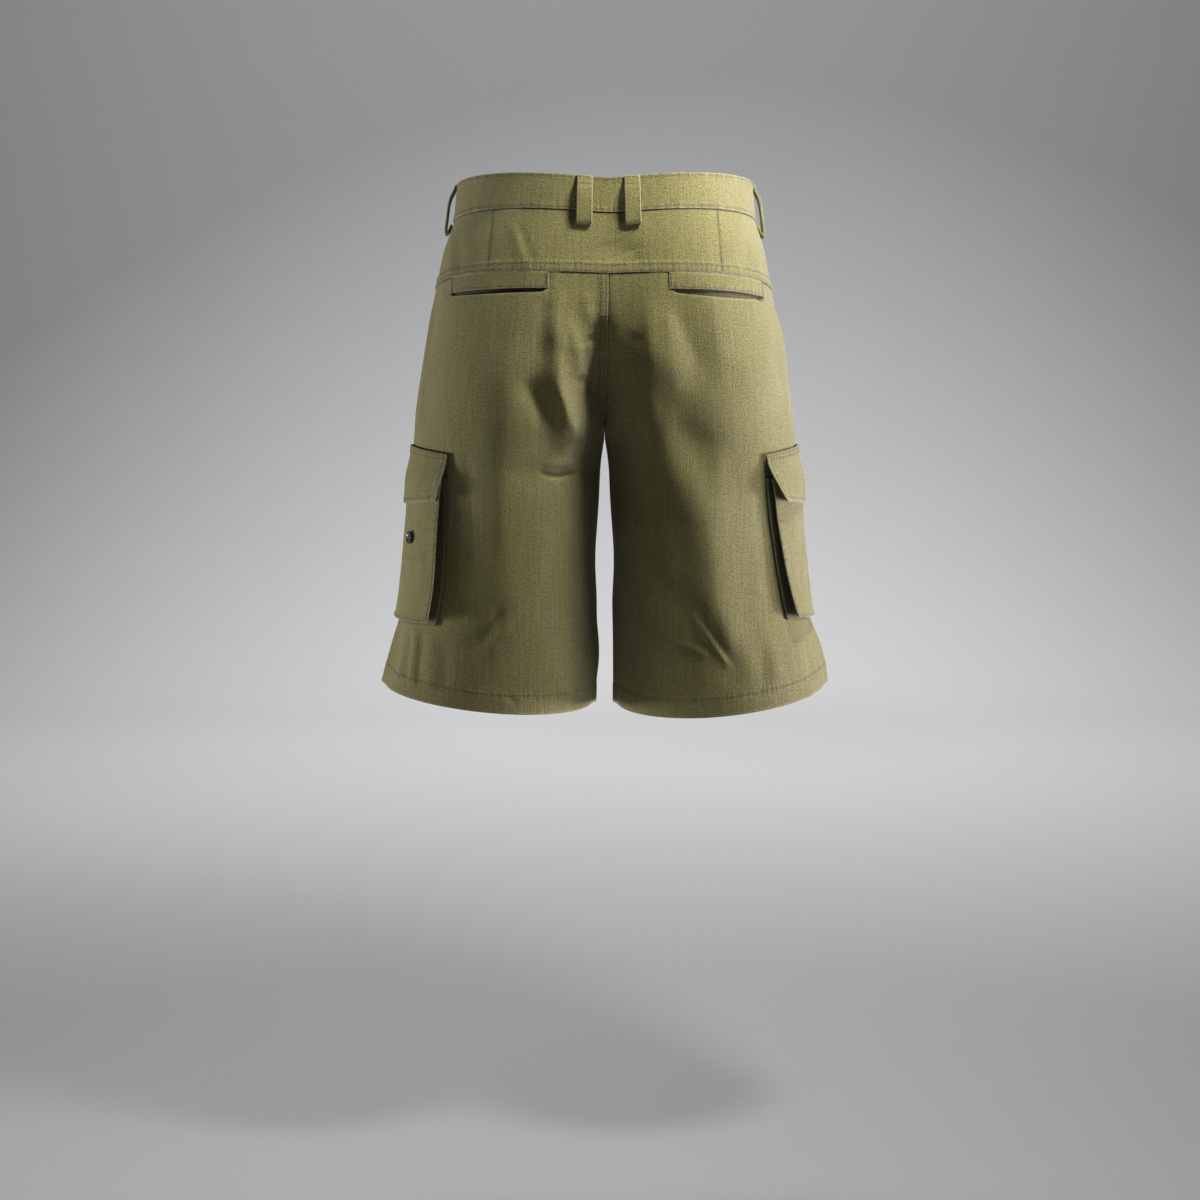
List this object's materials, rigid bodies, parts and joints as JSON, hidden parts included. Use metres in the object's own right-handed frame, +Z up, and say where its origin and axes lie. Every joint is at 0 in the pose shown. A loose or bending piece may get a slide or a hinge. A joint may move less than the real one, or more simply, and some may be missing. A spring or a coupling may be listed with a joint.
{
  "type": "cargo shorts",
  "caption": "Knee-length cotton canvas cargo shorts in their worn form, with a back yoke, welt pockets, belt loops and bellows thigh pockets with flaps.",
  "frame": {"origin": "centre of the waist opening, half way up the waistband", "axes": "+Z up, +X to the wearer's left, +Y to the wearer's back"},
  "size_m": [0.4704, 0.2463, 0.5568],
  "materials": {
    "canvas": "matt woven cotton canvas",
    "button": "dark satin plastic"
  },
  "bodies": {
    "root": {"waistband": "canvas", "yoke_back": "canvas", "back_left": "canvas", "back_right": "canvas", "front_left": "canvas", "front_right": "canvas", "back_welt_left": "canvas", "back_welt_right": "canvas", "back_pocket_facing_left": "canvas", "back_pocket_facing_right": "canvas", "cargo_pouch_left": "canvas", "cargo_pouch_right": "canvas", "cargo_gusset_left": "canvas", "cargo_gusset_right": "canvas", "cargo_flap_left": "canvas", "cargo_flap_right": "canvas", "belt_loop_back_left": "canvas", "belt_loop_back_right": "canvas", "belt_loop_side_left": "canvas", "belt_loop_side_right": "canvas", "belt_loop_front_left": "canvas", "belt_loop_front_right": "canvas", "fly_placket": "canvas", "waist_button": "button", "cargo_button_left": "button", "cargo_button_right": "button"}
  },
  "joints": []
}
